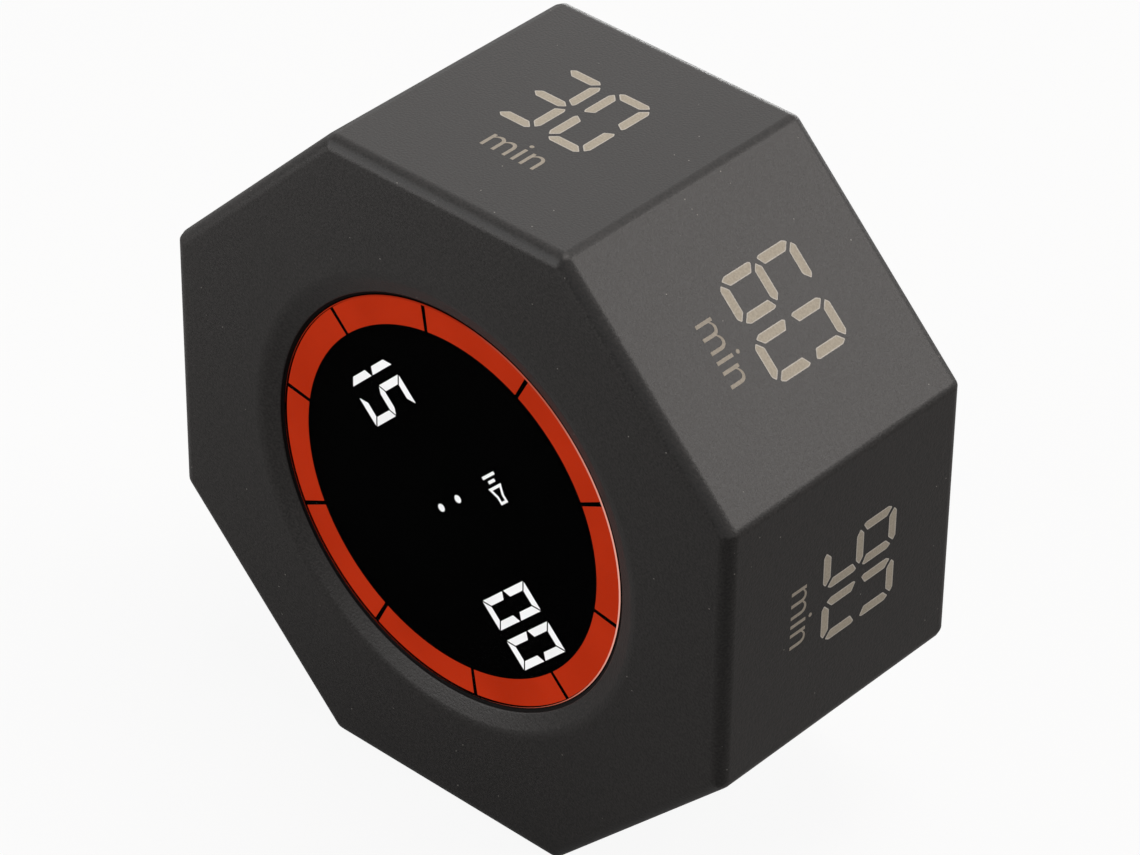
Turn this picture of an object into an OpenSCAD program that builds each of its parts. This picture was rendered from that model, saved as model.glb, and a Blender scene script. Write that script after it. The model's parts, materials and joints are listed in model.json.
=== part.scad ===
// Flip timer: an octagonal prism that stands on any of its eight sides to start a countdown.
// The display faces -Y, +Z is up, and the origin is under the middle of the bottom side.

/* [Body] */
// Width across two opposite sides
across_flats = 66; // [64:0.5:80]
// Depth from the front face to the back rim
depth = 31.2; // [29:0.1:44]
// Thickness of the side walls
wall = 2.2; // [1.8:0.1:2.6]
// Thickness of the front wall
front_wall = 2.2; // [2:0.1:3]
// Radius of every outer edge
edge_round = 1.3; // [0.6:0.1:1.6]

/* [Display window] */
// Diameter of the bevelled rim at the front face
rim_d = 45.2; // [44:0.2:48]
// Diameter of the window bore
window_d = 40.8; // [40:0.2:43]
// Depth of the bevel
bevel_depth = 0.8; // [0.3:0.1:1.2]
// Depth of the lens below the front face
lens_sink = 0.5; // [0.4:0.1:1.4]
// Thickness of the lens
lens_t = 0.6; // [0.6:0.1:1]
// Chamfer round the front of the lens
lens_chamfer = 0.1; // [0.1:0.05:0.4]
// Gap between the lens and the window bore
lens_gap = 0.1; // [0.1:0.05:0.3]

/* [Display module] */
// Depth of the reflector block behind the lens
block_depth = 5; // [4:0.5:8]
// Reach of the block's flange behind the front wall
flange_w = 1.6; // [1:0.1:2]
// Thickness of the dust gasket
gasket_t = 0.3; // [0.2:0.1:0.5]
// Width of the dust gasket
gasket_w = 1.2; // [0.8:0.1:1.4]
// Thickness of the diffusers at the front of the light wells
diffuser_t = 1.2; // [0.8:0.1:2]
// Turn of the display in the front face
display_turn = -45; // [-180:45:180]
// Minutes that are lit
shown_minutes = 15; // [0:1:59]
// Seconds that are lit
shown_seconds = 0; // [0:1:59]

/* [Ring of lights] */
// Number of lights in the ring
ring_count = 10; // [6:1:16]
// Width of the band of lights
ring_w = 2.7; // [1.5:0.1:3.2]
// Dark border outside the band
ring_border = 0.15; // [0.15:0.05:0.6]
// Dark slit between two lights
ring_slit = 0.45; // [0.2:0.05:0.6]

/* [Digits] */
// Height of a digit
digit_h = 6.9; // [6:0.1:8]
// Width of a digit
digit_w = 3.1; // [2.8:0.1:3.5]
// Distance between the two digits of a pair
digit_pitch = 4.15; // [3.9:0.05:4.6]
// Width of a digit's strokes
digit_stroke = 0.75; // [0.6:0.05:0.9]
// Dark gap between two strokes
stroke_gap = 0.15; // [0.1:0.05:0.25]
// Slant of the cut in the middle of the digit's sides, as rise over run
slant = 0.6; // [0.5:0.05:1]
// Dark border between the digits and the ring
digit_border = 0.8; // [0.5:0.1:1.5]
// Diameter of the colon's dots
colon_d = 0.8; // [0.7:0.05:1.2]
// Distance between the colon's dots
colon_pitch = 2.8; // [2:0.1:3.6]

/* [Sound icon] */
// Height of the icon
icon_h = 2.2; // [1.8:0.1:2.6]
// Width of the icon
icon_w = 3; // [2.8:0.1:4]
// Length of the icon's horn
horn_l = 1.8; // [1.5:0.1:2]
// Place of the icon right of the colon
icon_x = 0.9; // [-2:0.1:2]
// Place of the icon above the colon
icon_up = 7.3; // [6:0.1:9]
// Width of the icon's strokes
icon_stroke = 0.32; // [0.25:0.01:0.4]
// Room round the icon in its light chamber
icon_room = 0.25; // [0.2:0.05:0.5]

/* [Lights] */
// Length of a light on the display board
led_l = 0.6; // [0.4:0.05:0.65]
// Width of a light
led_w = 0.4; // [0.3:0.05:0.45]
// Height of a light
led_h = 0.4; // [0.3:0.05:0.6]

/* [Boards] */
// Thickness of the display board
display_board_t = 1.2; // [0.8:0.1:1.6]
// Thickness of the main board
main_board_t = 1.6; // [1:0.1:2]
// Gap between the boards and the cover's posts
board_gap = 0.6; // [0.4:0.1:1.5]
// Height of the main board above the rear cover
standoff_h = 6.5; // [6:0.5:9]
// Distance of a standoff's middle from the edge of the main board
standoff_inset = 4.4; // [4:0.1:6]
// Radius of a standoff
standoff_r = 2.5; // [2:0.1:3]

/* [Board link] */
// Pins in the link between the boards
link_count = 8; // [4:1:9]
// Distance between two pins
link_pitch = 2; // [1.5:0.1:2.2]
// Width of the strip that holds the pins
link_w = 2.4; // [2:0.1:3]
// Height of the strip
link_h = 2; // [1.5:0.1:2.5]
// Thickness of a pin
link_pin = 0.5; // [0.4:0.05:0.6]
// Diameter of a pin's hole in the boards
link_hole_d = 0.9; // [0.85:0.05:1.2]
// Distance of the strip's middle from the edge of the boards
link_inset = 4.9; // [4:0.1:5.2]
// Length of the pins behind the main board
link_tail = 0.8; // [0.4:0.1:1.5]

/* [Chips] */
// Width of the controller
controller_w = 7; // [5:0.5:9]
// Thickness of the controller
controller_t = 1; // [0.8:0.1:1.4]
// Place of the controller on the main board
controller_at = [-6, -4]; // [-7:0.5:7]
// Feet on one side of the controller
foot_count = 8; // [4:1:8]
// Length of a foot outside the controller
foot_l = 1; // [0.6:0.1:1.4]
// Width of a foot
foot_w = 0.35; // [0.2:0.05:0.4]
// Thickness of a foot
foot_t = 0.2; // [0.1:0.05:0.3]
// Distance between two feet
foot_pitch = 0.6; // [0.5:0.05:0.6]
// Width of the motion sensor and the charge chip
chip_w = 3; // [2:0.1:4]
// Thickness of the motion sensor and the charge chip
chip_t = 0.8; // [0.6:0.1:1.2]
// Place of the motion sensor on the main board
motion_sensor_at = [6, 6]; // [4:0.5:8]
// Place of the charge chip on the main board
charge_chip_at = [5, -9]; // [-10:0.5:10]
// Number of small parts beside the charge chip
passive_count = 5; // [3:1:6]
// Length of a small part
passive_l = 1.6; // [1:0.1:2]
// Width and height of a small part
passive_w = 0.8; // [0.5:0.1:1]
// Distance between two small parts
passive_pitch = 2.4; // [1.6:0.1:2.8]

/* [Buzzer] */
// Diameter of the buzzer
buzzer_d = 12; // [9:0.5:14]
// Height of the buzzer
buzzer_h = 4.5; // [3:0.5:5]
// Diameter of the buzzer's sound hole
buzzer_hole_d = 2; // [1:0.1:3]

/* [Battery] */
// Width of the cell
battery_w = 30; // [26:1:34]
// Height of the cell
battery_h = 32; // [26:1:36]
// Thickness of the cell
battery_t = 5; // [4:0.5:6]
// Radius of the cell's upright edges
battery_round = 2; // [1:0.1:3]
// Length of the terrace at the cell's top
terrace_l = 2; // [1:0.1:3]
// Thickness of the terrace
terrace_t = 2; // [1.4:0.1:3]
// Thickness of the tape that holds the cell
tape_t = 0.6; // [0.3:0.1:1]
// Border of the cell outside the tape
tape_border = 6; // [2:0.5:8]

/* [Battery leads] */
// Diameter of a lead
lead_d = 1.2; // [0.8:0.1:1.4]
// Distance between the two leads
lead_pitch = 2; // [1.6:0.1:2.4]
// Straight run of the leads out of the cell
lead_run = 1.5; // [1:0.1:2]
// Bend radius of the leads
lead_bend = 2; // [1.5:0.1:2.5]
// Width of the socket on the main board
socket_w = 7; // [6:0.1:8]
// Depth of the socket
socket_d = 5; // [4:0.1:5.5]
// Height of the socket
socket_h = 3; // [2:0.1:4]
// Thickness of the socket's walls and floor
socket_wall = 0.6; // [0.4:0.1:0.8]
// Gap between plug and socket
plug_gap = 0.1; // [0.05:0.05:0.2]
// Height of the plug
plug_h = 3.6; // [3:0.1:4.5]

/* [Rear cover] */
// Thickness of the rear cover
cover_t = 2.2; // [2:0.1:3]
// Gap between the rear cover and the side walls
cover_gap = 0.15; // [0.1:0.05:0.3]
// Depth of the rear cover below the back rim
cover_sink = 0.4; // [0.3:0.1:1]
// Distance of the slider and the button from the edge of the main board
control_inset = 9.9; // [9:0.1:11]
// Height that knob and button stand out of the cover
control_proud = 0.2; // [0:0.05:0.3]
// Distance of the buzzer and its sound holes from the edge of the main board
sound_inset = 8.9; // [8:0.1:10]
// Diameter of a sound hole
sound_d = 1.2; // [0.8:0.1:1.6]
// Distance between two rings of sound holes
sound_pitch = 2.2; // [2:0.1:2.6]
// Number of rings of sound holes
sound_rings = 2; // [1:1:2]

/* [Slide switch] */
// Travel of the slider between its end positions
slider_travel = 3; // [2:0.5:4]
// Width of the slider's knob
knob_w = 4.6; // [4:0.1:5.5]
// Length of the slider's knob
knob_l = 5.6; // [5:0.1:6.5]
// Depth of the pocket that the knob slides in
pocket_depth = 1; // [0.8:0.1:1.2]
// Gap round the knob and its stem
knob_gap = 0.2; // [0.1:0.05:0.3]
// Gap above and below the knob
knob_play = 0.1; // [0.05:0.05:0.15]
// Width of the knob's stem
stem_w = 2.4; // [2:0.1:2.8]
// Length of the knob's stem
stem_l = 2; // [1.8:0.1:2.6]
// Reach of the stem's lip behind the cover
lip_w = 0.4; // [0.2:0.1:0.8]
// Thickness of the stem's lip
lip_t = 0.8; // [0.5:0.1:1]
// Number of grooves across the knob
grip_count = 3; // [1:1:4]
// Width of a groove
grip_w = 0.5; // [0.3:0.05:0.6]
// Depth of a groove
grip_depth = 0.3; // [0.1:0.05:0.5]
// Distance between two grooves
grip_pitch = 1.2; // [0.9:0.05:1.3]
// Width of the switch's metal case
slide_case_w = 3.6; // [3:0.1:5]
// Length of the switch's metal case
slide_case_l = 8.8; // [7:0.1:10]
// Thickness of the switch's lever
lever_w = 1.2; // [1:0.1:1.4]
// Gap between the lever and the slot in its case
lever_gap = 0.1; // [0.05:0.05:0.2]
// Length of the lever inside its case
lever_root = 1; // [0.6:0.1:1.5]
// Length of the lever inside the cover
lever_reach = 0.5; // [0.3:0.1:0.8]

/* [Push switch] */
// Diameter of the push button
button_d = 8; // [6:0.2:9]
// Chamfer round the front of the push button
button_chamfer = 0.3; // [0.1:0.05:0.5]
// Gap round the push button
button_gap = 0.15; // [0.1:0.05:0.3]
// Travel of the push button
button_travel = 0.5; // [0.3:0.1:0.6]
// Reach of the button's lip behind the cover
button_lip_w = 0.8; // [0.4:0.1:1.2]
// Thickness of the button's lip
button_lip_t = 0.8; // [0.5:0.1:1]
// Diameter of the button's stem
button_stem_d = 3; // [2:0.1:4]
// Diameter of the dish in the button
dish_d = 5.2; // [3:0.1:5.4]
// Depth of the dish in the button
dish_depth = 0.2; // [0.1:0.05:0.4]
// Height of both switches' cases
switch_h = 3.5; // [2.5:0.1:3.8]
// Width of the push switch's case
press_case_w = 6; // [4.5:0.1:6.5]
// Diameter of the push switch's plunger
plunger_d = 3.4; // [2.4:0.1:3.8]
// Gap round the plunger and behind it
plunger_gap = 0.1; // [0.05:0.05:0.2]
// Length of the plunger outside its case
plunger_proud = 1; // [0.8:0.1:1.1]
// Length of the plunger inside its case
plunger_root = 1; // [0.6:0.1:1.5]

/* [Charging port] */
// Distance of the port from the edge of the main board
port_inset = 7.9; // [6:0.1:9]
// Width of the metal shell
port_w = 8.94; // [8.9:0.02:9.1]
// Height of the metal shell
port_h = 3.26; // [3.2:0.02:3.4]
// Thickness of the metal shell
port_wall = 0.3; // [0.2:0.05:0.35]
// Gap between the shell and the cover
port_gap = 0.2; // [0.1:0.05:0.4]
// Depth of the shell below the cover's face
port_sink = 0.3; // [0.1:0.1:0.6]
// Width of the tongue
tongue_w = 6.7; // [6.5:0.05:6.9]
// Thickness of the tongue
tongue_t = 0.7; // [0.6:0.05:0.8]
// Depth of the tongue's tip in the shell
tongue_sink = 0.6; // [0.4:0.1:1]
// Thickness of the base that closes the shell
port_base = 1.6; // [1:0.1:2]

/* [Screws] */
// Radius of the posts in the housing
post_r = 3; // [2.6:0.1:3.4]
// Distance of a post's middle from the corner of the cavity
post_inset = 4.8; // [4.6:0.1:5.5]
// Thickness of the web between a post and its corner
web_t = 1.2; // [0.8:0.1:2]
// Shank diameter of the cover screws
cover_screw_d = 2.4; // [2:0.1:2.6]
// Length of the cover screws in their posts
cover_screw_l = 8; // [6:0.5:12]
// Head diameter of the cover screws
cover_head_d = 4.4; // [4:0.1:4.8]
// Head height of the cover screws
cover_head_h = 1.4; // [1:0.1:1.5]
// Gap round the heads of the cover screws
cover_head_gap = 0.3; // [0.1:0.05:0.5]
// Depth of the cover screws' heads below the cover's face
cover_head_sink = 0.2; // [0:0.05:0.3]
// Shank diameter of the board screws
board_screw_d = 1.9; // [1.6:0.1:2.1]
// Length of the board screws' shank
board_screw_l = 5; // [4:0.5:5.5]
// Head diameter of the board screws
board_head_d = 3.8; // [3:0.1:4.2]
// Head height of the board screws
board_head_h = 1.2; // [1:0.1:1.5]
// Slope of the heads' sides
head_slope = 0.3; // [0.1:0.05:0.5]
// Length of the cross recess in a head
recess_l = 2; // [1.5:0.1:2.4]
// Width of the cross recess
recess_w = 0.5; // [0.3:0.05:0.6]
// Depth of the cross recess
recess_depth = 0.7; // [0.4:0.05:0.8]
// Gap between a shank and its pilot hole
screw_play = 0.05; // [0.03:0.01:0.1]
// Spare depth of a pilot hole
pilot_spare = 0.5; // [0.2:0.1:0.6]
// Gap between a shank and the hole it passes through
screw_gap = 0.2; // [0.1:0.05:0.3]

/* [Hidden] */
$fn = 64;
fine = 128;
sides = 8;
side_turn = 360 / sides;
half_turn = side_turn / 2;

// Overlap of what is joined, and overrun of what is cut away
embed = wall / 4;
cut = wall / 2;

// Levels along the timer's axis, measured from its middle towards the viewer
front_z = depth / 2;
back_z = -depth / 2;
front_inner_z = front_z - front_wall;
lens_z = front_z - lens_sink;
block_z = lens_z - lens_t;
flange_z = front_inner_z - gasket_t;
display_board_z = block_z - block_depth;
display_back_z = display_board_z - display_board_t;
battery_z = display_back_z - tape_t;
lead_z = battery_z - battery_t / 2;
cover_out_z = back_z + cover_sink;
cover_in_z = cover_out_z + cover_t;
control_z = cover_out_z - control_proud;
cover_seat_z = cover_out_z + cover_head_h + cover_head_sink;
port_z = cover_out_z + port_sink;
main_back_z = cover_in_z + standoff_h;
main_board_z = main_back_z + main_board_t;
switch_z = main_back_z - switch_h;
plug_z = main_board_z + socket_wall + plug_h;

// Plan of the housing and its posts
core_apothem = across_flats / 2 - edge_round;
core_side = 2 * core_apothem * tan(half_turn);
cavity_apothem = across_flats / 2 - wall;
post_ring_r = cavity_apothem / cos(half_turn) - post_inset;
cover_post_angles = [half_turn, 180 - half_turn, 180 + half_turn, -half_turn];
display_post_angles = [90 - half_turn, 90 + half_turn, half_turn - 90, -half_turn - 90];
standoff_angles = [for (i = [0:3]) side_turn + 90 * i];
board_r = post_ring_r - post_r - board_gap;

// Display
lens_r = window_d / 2 - lens_gap;
flange_r = window_d / 2 + flange_w;
ring_out_r = lens_r - ring_border;
ring_in_r = ring_out_r - ring_w;
ring_step = 360 / ring_count;
ring_slit_angle = ring_slit / ring_out_r * 180 / PI;
digit_corner_r = ring_in_r - digit_border;
pair_x = sqrt(pow(digit_corner_r, 2) - pow(digit_h / 2, 2)) - digit_w / 2 - digit_pitch / 2;
digit_xs = [for (pair = [-1, 1], k = [-1, 1]) pair * pair_x + k * digit_pitch / 2];
shown = [floor(shown_minutes / 10), shown_minutes % 10, floor(shown_seconds / 10), shown_seconds % 10];
strokes = "abcdefg";
lit_strokes = ["abcdef", "bc", "abdeg", "abcdg", "bcfg", "acdfg", "acdefg", "abc", "abcdefg", "abcdfg"];
mitre_gap = stroke_gap * sqrt(0.5);

// Places on the boards
standoff_ring_r = board_r - standoff_inset;
control_x = board_r - control_inset;
sound_y = board_r - sound_inset;
port_y = board_r - port_inset;
link_x = board_r - link_inset;
link_ys = [for (i = [0:link_count - 1]) (i - (link_count - 1) / 2) * link_pitch];
socket_y = battery_h / 2 + lead_run + lead_bend;
socket_inner = [socket_w - 2 * socket_wall, socket_d - 2 * socket_wall];

function octagon(apothem) = [
  for (i = [0:sides - 1])
    let (turn = half_turn + i * side_turn) apothem / cos(half_turn) * [cos(turn), sin(turn)]
];

function is_lit(digit, stroke) = len(search(stroke, lit_strokes[digit])) > 0;

// Middle of a stroke in a digit that is centred on the origin
function stroke_middle(stroke) =
  let (x = digit_w / 2 - digit_stroke / 2, y = digit_h / 2 - digit_stroke / 2)
  stroke == "a" ? [0, y] :
  stroke == "d" ? [0, -y] :
  stroke == "g" ? [0, 0] :
  [stroke == "b" || stroke == "c" ? x : -x, stroke == "b" || stroke == "f" ? digit_h / 4 : -digit_h / 4];

// Stands the timer on its bottom side: what is drawn facing +Z faces the viewer
module stood() {
  translate([0, 0, across_flats / 2]) rotate([90, 0, 0]) children();
}

module at_angles(angles, r) {
  for (a = angles) rotate(a) translate([r, 0, 0]) children();
}

module stadium(w, h) {
  square([w - h, h], center = true);
  for (side = [-1, 1]) translate([side * (w - h) / 2, 0]) circle(d = h);
}

module rounded_rect(w, h, r) {
  square([w - 2 * r, h], center = true);
  square([w, h - 2 * r], center = true);
  for (x = [-1, 1], y = [-1, 1]) translate([x * (w / 2 - r), y * (h / 2 - r)]) circle(r);
}

// Section of what is cut off along a side to round its edge
module edge_waste() {
  difference() {
    square(edge_round + cut);
    circle(edge_round);
  }
}

// Section of what is cut off an upright edge to round it
module corner_waste() {
  reach = edge_round + cut;
  difference() {
    polygon([[0, 0], [reach, 0], [reach, reach * tan(half_turn)], reach * [cos(side_turn), sin(side_turn)]]);
    circle(edge_round);
  }
}

// Octagonal prism with every edge rounded: cut along its upright edges, and along each side and round each
// corner at both ends
module rounded_prism() {
  straight = depth - 2 * edge_round;
  difference() {
    linear_extrude(depth, center = true) polygon(octagon(across_flats / 2));
    for (i = [0:sides - 1]) rotate(i * side_turn) translate([core_apothem, core_side / 2, 0]) {
      linear_extrude(straight, center = true) corner_waste();
      for (end = [0, 1]) mirror([0, 0, end]) translate([0, 0, straight / 2]) {
        rotate([90, 0, 0]) linear_extrude(core_side) edge_waste();
        rotate_extrude(angle = side_turn) edge_waste();
      }
    }
  }
}

// Post on the front wall with a web that ties it to the corner
module post(end_z) {
  h = front_inner_z + embed - end_z;
  translate([0, 0, end_z]) cylinder(r = post_r, h = h);
  translate([0, -web_t / 2, end_z]) cube([post_inset + embed, web_t, h]);
}

module pilot(d, end_z, l) {
  translate([0, 0, end_z - cut]) cylinder(r = d / 2 + screw_play, h = l + pilot_spare + cut);
}

module front_housing() {
  color("#2d2d2e") stood() difference() {
    union() {
      difference() {
        rounded_prism();
        translate([0, 0, back_z - cut])
          linear_extrude(front_inner_z - back_z + cut) polygon(octagon(cavity_apothem));
      }
      at_angles(cover_post_angles, post_ring_r) post(cover_in_z);
      at_angles(display_post_angles, post_ring_r) post(display_board_z);
    }
    translate([0, 0, front_inner_z - cut]) cylinder(d = window_d, h = front_wall + 2 * cut, $fn = fine);
    translate([0, 0, front_z - bevel_depth])
      cylinder(d1 = window_d, d2 = rim_d, h = bevel_depth, $fn = fine);
    at_angles(cover_post_angles, post_ring_r) pilot(cover_screw_d, cover_in_z, cover_screw_l);
    at_angles(display_post_angles, post_ring_r)
      pilot(board_screw_d, display_board_z, board_screw_l - display_board_t);
  }
}

module sound_holes() {
  cylinder(d = sound_d, h = cover_t + 2 * cut);
  for (ring = [1:sound_rings], i = [0:6 * ring - 1]) rotate(i * 60 / ring)
    translate([ring * sound_pitch, 0, 0]) cylinder(d = sound_d, h = cover_t + 2 * cut);
}

module rear_cover() {
  through = cover_t + 2 * cut;
  color("#2d2d2e") stood() difference() {
    union() {
      translate([0, 0, cover_out_z]) linear_extrude(cover_t) polygon(octagon(cavity_apothem - cover_gap));
      at_angles(standoff_angles, standoff_ring_r)
        translate([0, 0, cover_in_z - embed]) cylinder(r = standoff_r, h = standoff_h + embed);
    }
    at_angles(standoff_angles, standoff_ring_r) translate([0, 0, main_back_z + cut]) mirror([0, 0, 1])
      cylinder(r = board_screw_d / 2 + screw_play, h = board_screw_l - main_board_t + pilot_spare + cut);
    at_angles(cover_post_angles, post_ring_r) {
      translate([0, 0, cover_out_z - cut]) cylinder(r = cover_screw_d / 2 + screw_gap, h = through);
      translate([0, 0, cover_out_z - cut])
        cylinder(r = cover_head_d / 2 + cover_head_gap, h = cover_seat_z - cover_out_z + cut);
    }
    translate([0, sound_y, cover_out_z - cut]) sound_holes();
    translate([0, -port_y, cover_out_z - cut])
      linear_extrude(through) stadium(port_w + 2 * port_gap, port_h + 2 * port_gap);
    translate([-control_x, 0, cover_out_z - cut]) {
      linear_extrude(pocket_depth + cut)
        square([knob_w + 2 * knob_gap, knob_l + slider_travel + 2 * knob_gap], center = true);
      linear_extrude(through)
        square([stem_w + 2 * knob_gap, stem_l + slider_travel + 2 * knob_gap], center = true);
    }
    translate([control_x, 0, cover_out_z - cut]) cylinder(r = button_d / 2 + button_gap, h = through);
  }
}

// Pan-head screw with a cross recess: the head lies below the origin and the shank points up
module screw(d, l, head_d, head_h) {
  difference() {
    union() {
      cylinder(d = d, h = l);
      translate([0, 0, -head_h]) cylinder(d1 = head_d - 2 * head_slope, d2 = head_d, h = head_h);
    }
    for (turn = [0, 90]) rotate(turn) translate([-recess_l / 2, -recess_w / 2, -head_h - cut])
      cube([recess_l, recess_w, recess_depth + cut]);
  }
}

module cover_screws() {
  color("#8d9094") stood() at_angles(cover_post_angles, post_ring_r) translate([0, 0, cover_seat_z])
    screw(cover_screw_d, cover_screw_l + cover_in_z - cover_seat_z, cover_head_d, cover_head_h);
}

module display_lens() {
  color("#1a1a1c", 0.4) stood() translate([0, 0, block_z]) rotate_extrude($fn = fine) polygon([
    [0, 0], [lens_r, 0], [lens_r, lens_t - lens_chamfer], [lens_r - lens_chamfer, lens_t], [0, lens_t]
  ]);
}

module dust_gasket() {
  color("#3a3a3c") stood() translate([0, 0, flange_z]) difference() {
    cylinder(r = flange_r, h = gasket_t, $fn = fine);
    translate([0, 0, -cut]) cylinder(r = flange_r - gasket_w, h = gasket_t + 2 * cut, $fn = fine);
  }
}

// Top stroke of a digit, mitred at both ends
module bar_stroke() {
  x = digit_w / 2 - mitre_gap;
  y = digit_h / 2;
  polygon([[-x, y], [x, y], [x - digit_stroke, y - digit_stroke], [digit_stroke - x, y - digit_stroke]]);
}

// Upper left stroke of a digit, mitred above and cut at a slant below
module post_stroke() {
  x = digit_w / 2;
  y = digit_h / 2 - mitre_gap;
  shoulder = digit_stroke * slant + mitre_gap;
  polygon([[-x, y], [-x, mitre_gap], [digit_stroke - x, shoulder], [digit_stroke - x, y - digit_stroke]]);
}

// Middle stroke of a digit, pointed at both ends
module middle_stroke() {
  x = digit_w / 2 - mitre_gap;
  y = digit_stroke / 2;
  tip = y / slant;
  polygon([[-x, 0], [tip - x, y], [x - tip, y], [x, 0], [x - tip, -y], [tip - x, -y]]);
}

module stroke(name) {
  if (name == "a") bar_stroke();
  if (name == "d") mirror([0, 1]) bar_stroke();
  if (name == "g") middle_stroke();
  if (name == "f") post_stroke();
  if (name == "b") mirror([1, 0]) post_stroke();
  if (name == "e") mirror([0, 1]) post_stroke();
  if (name == "c") rotate(180) post_stroke();
}

module digits(lit) {
  for (i = [0:3], s = strokes) if (is_lit(shown[i], s) == lit) translate([digit_xs[i], 0]) stroke(s);
}

module colon() {
  for (side = [-1, 1]) translate([0, side * colon_pitch / 2]) circle(d = colon_d, $fn = 32);
}

// One stroke of the icon between two points, square at its ends
module icon_line(from, to) {
  run = to - from;
  translate(from) rotate(atan2(run[1], run[0]))
    translate([0, -icon_stroke / 2]) square([norm(run), icon_stroke]);
}

// Sound icon: a horn drawn in outline with open corners, a dash and a bar in front of it
module icon() {
  wide = icon_h / 2;
  narrow = icon_h / 4;
  back = icon_w / 2;
  mouth = back - horn_l;
  open = icon_stroke;
  translate([icon_x, icon_up]) {
    icon_line([-back, -wide], [-back, wide]);
    icon_line([-back + 2 * open, -wide / 2], [-back + 2 * open, wide / 2]);
    icon_line([mouth, open - wide], [mouth, wide - open]);
    icon_line([back, open - narrow], [back, narrow - open]);
    for (side = [0, 1]) mirror([0, side])
      icon_line([mouth + open, wide - open / 2], [back - open, narrow + open / 2]);
  }
}

module ring_light(h) {
  rotate_extrude(angle = ring_step - ring_slit_angle, $fn = fine)
    translate([ring_in_r, 0]) square([ring_w, h]);
}

module ring_lights(h) {
  for (i = [0:ring_count - 1]) rotate(i * ring_step + ring_slit_angle / 2) ring_light(h);
}

module reflector_block() {
  wells = block_depth + 2 * cut;
  color("#0c0c0d") stood() translate([0, 0, display_board_z]) rotate(display_turn) difference() {
    union() {
      cylinder(r = flange_r, h = flange_z - display_board_z, $fn = fine);
      cylinder(r = lens_r, h = block_depth, $fn = fine);
    }
    translate([0, 0, -cut]) {
      ring_lights(wells);
      linear_extrude(wells) {
        digits(true);
        digits(false);
        colon();
        icon();
      }
      translate([icon_x, icon_up, 0]) linear_extrude(block_depth / 2 + cut)
        square([icon_w + 2 * icon_room, icon_h + 2 * icon_room], center = true);
    }
  }
}

// Places a diffuser flush with the front of the reflector block
module in_wells() {
  stood() translate([0, 0, block_z - diffuser_t]) rotate(display_turn) children();
}

module ring_segments() {
  color("#d2391b") in_wells() ring_lights(diffuser_t);
}

module digit_segments() {
  color("white") in_wells() linear_extrude(diffuser_t) digits(true);
}

module blank_segments() {
  color("#1b1b1d") in_wells() linear_extrude(diffuser_t) digits(false);
}

module colon_dots() {
  color("white") in_wells() linear_extrude(diffuser_t) colon();
}

module icon_strokes() {
  color("white") in_wells() linear_extrude(diffuser_t) icon();
}

module led() {
  translate([-led_l / 2, -led_w / 2, 0]) cube([led_l, led_w, led_h]);
}

module segment_leds() {
  color("#e8e2c8") stood() translate([0, 0, display_board_z]) rotate(display_turn) {
    for (i = [0:ring_count - 1]) rotate((i + 0.5) * ring_step)
      translate([ring_in_r + ring_w / 2, 0, 0]) led();
    for (x = digit_xs, s = strokes) translate([x, 0, 0] + [each stroke_middle(s), 0])
      rotate(s == "a" || s == "d" || s == "g" ? 0 : 90) led();
    for (side = [-1, 1]) translate([0, side * colon_pitch / 2, 0]) led();
    translate([icon_x, icon_up, 0]) led();
  }
}

module link_holes() {
  for (y = link_ys) translate([link_x, y]) circle(d = link_hole_d);
}

module display_board() {
  ear_l = post_ring_r - board_r / 2;
  color("#1f5a3a") stood() translate([0, 0, display_back_z]) linear_extrude(display_board_t) difference() {
    union() {
      circle(board_r, $fn = fine);
      at_angles(display_post_angles, board_r / 2) {
        translate([0, -post_r]) square([ear_l, 2 * post_r]);
        translate([ear_l, 0]) circle(post_r);
      }
    }
    at_angles(display_post_angles, post_ring_r) circle(board_screw_d / 2 + screw_gap);
    link_holes();
  }
}

module display_screws() {
  color("#8d9094") stood() at_angles(display_post_angles, post_ring_r) translate([0, 0, display_back_z])
    screw(board_screw_d, board_screw_l, board_head_d, board_head_h);
}

module link_header() {
  color("#161617") stood() translate([link_x, 0, display_back_z - link_h])
    linear_extrude(link_h) difference() {
      square([link_w, link_count * link_pitch], center = true);
      for (y = link_ys) translate([0, y]) square(link_pin, center = true);
    }
}

module link_pins() {
  bottom = main_back_z - link_tail;
  color("#c9a648") stood() for (y = link_ys) translate([link_x, y, bottom])
    linear_extrude(display_board_z - bottom) square(link_pin, center = true);
}

module main_board() {
  color("#1f5a3a") stood() translate([0, 0, main_back_z]) linear_extrude(main_board_t) difference() {
    circle(board_r, $fn = fine);
    at_angles(standoff_angles, standoff_ring_r) circle(board_screw_d / 2 + screw_gap);
    link_holes();
  }
}

module board_screws() {
  color("#8d9094") stood() at_angles(standoff_angles, standoff_ring_r)
    translate([0, 0, main_board_z]) mirror([0, 0, 1])
      screw(board_screw_d, board_screw_l, board_head_d, board_head_h);
}

module chip(at, w, t) {
  stood() translate([at[0] - w / 2, at[1] - w / 2, main_board_z]) cube([w, w, t]);
}

module controller_chip() {
  foot_root = controller_w / 2 - foot_l / 2;
  color("#19191a") {
    chip(controller_at, controller_w, controller_t);
    stood() translate([controller_at[0], controller_at[1], main_board_z])
      for (turn = [0:90:270], i = [0:foot_count - 1]) rotate(turn)
        translate([foot_root, (i - (foot_count - 1) / 2) * foot_pitch - foot_w / 2, 0])
          cube([foot_l + foot_l / 2, foot_w, foot_t]);
  }
}

module motion_sensor() {
  color("#232325") chip(motion_sensor_at, chip_w, chip_t);
}

module charge_chip() {
  color("#232325") chip(charge_chip_at, chip_w, chip_t);
}

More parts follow.
